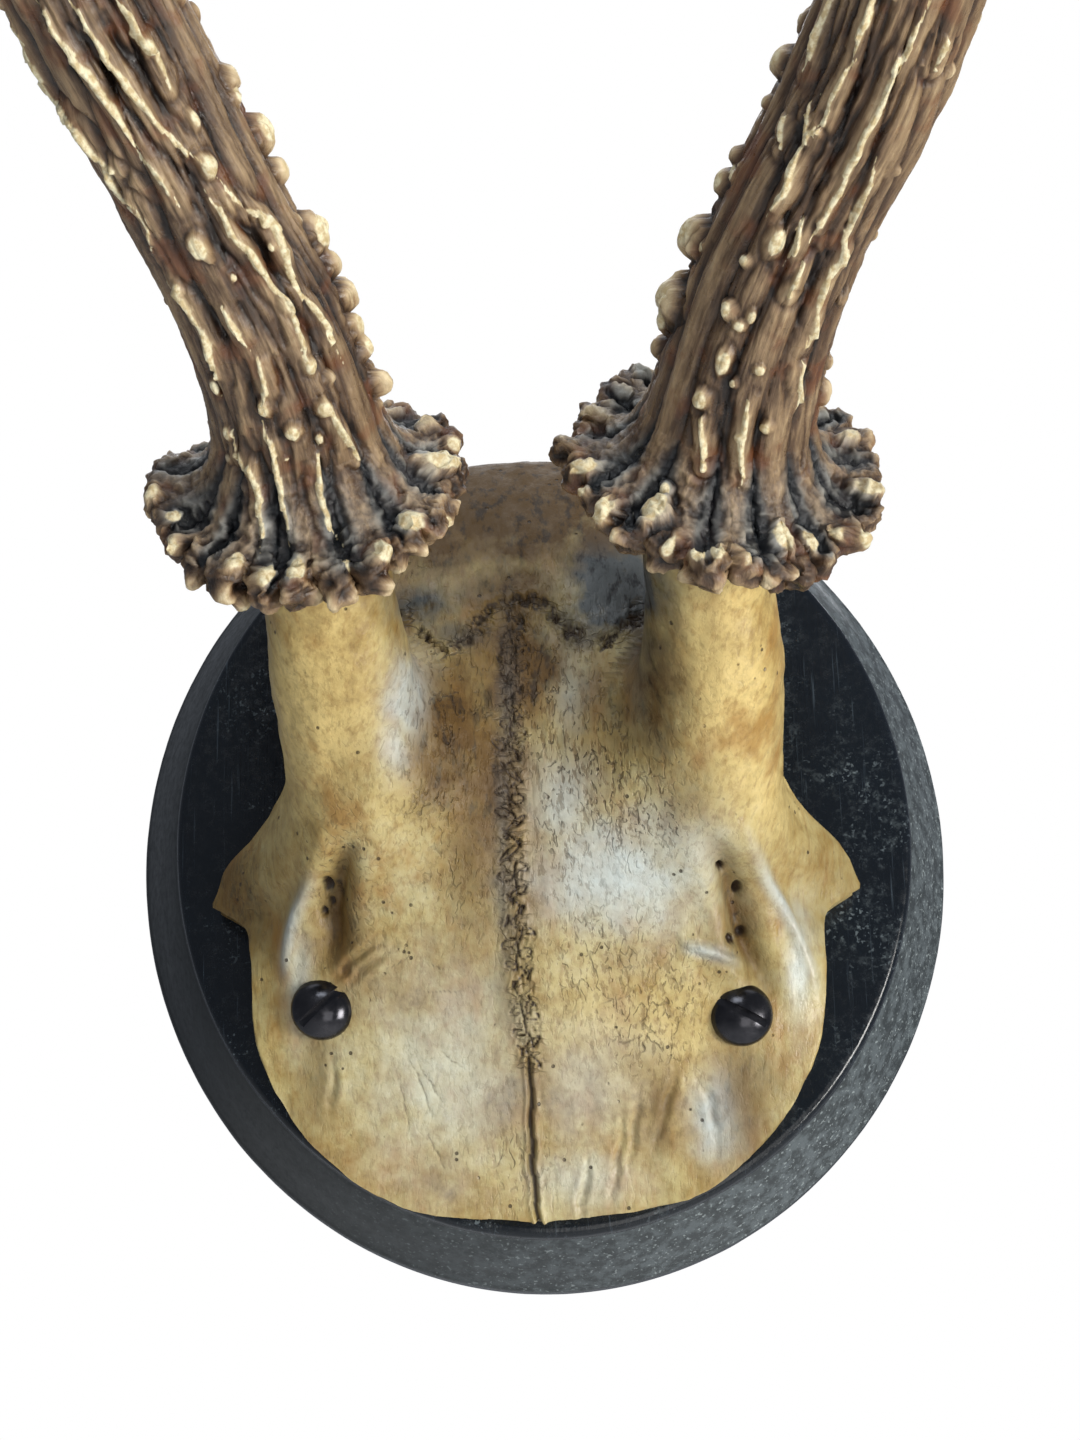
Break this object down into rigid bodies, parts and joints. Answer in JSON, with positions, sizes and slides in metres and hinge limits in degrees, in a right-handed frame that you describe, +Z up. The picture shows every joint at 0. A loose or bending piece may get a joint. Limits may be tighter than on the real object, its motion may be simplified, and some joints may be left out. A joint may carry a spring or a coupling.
{
  "type": "roe deer antler trophy",
  "caption": "Roe deer skull cap with both antlers, screwed by its forehead to an ebonised oval wall plaque.",
  "frame": {"origin": "centre of the oval plaque's back face, which lies against the wall", "axes": "+Z up the wall along the plaque's long axis, -Y straight out from the wall towards the viewer, +X to the viewer's right; left and right are the viewer's"},
  "size_m": [0.1403, 0.2152, 0.2345],
  "materials": {
    "ebonised_wood": "satin",
    "skull_bone": "satin",
    "antler_bone": "satin",
    "antler_tip": "satin",
    "dark_steel": "gloss",
    "hanger_brass": "satin"
  },
  "bodies": {
    "root": {"plaque": "ebonised_wood", "hanger_plate": "hanger_brass", "frontal_bone": "skull_bone", "parietal_bone": "skull_bone", "pedicle_left": "skull_bone", "screw_left": "dark_steel", "burr_left": "antler_bone", "lower_beam_left": "antler_bone", "upper_beam_left": "antler_bone", "front_tine_left": "antler_tip", "rear_tine_left": "antler_tip", "top_tine_left": "antler_tip", "pedicle_right": "skull_bone", "screw_right": "dark_steel", "burr_right": "antler_bone", "lower_beam_right": "antler_bone", "upper_beam_right": "antler_bone", "front_tine_right": "antler_tip", "rear_tine_right": "antler_tip", "top_tine_right": "antler_tip"}
  },
  "joints": []
}
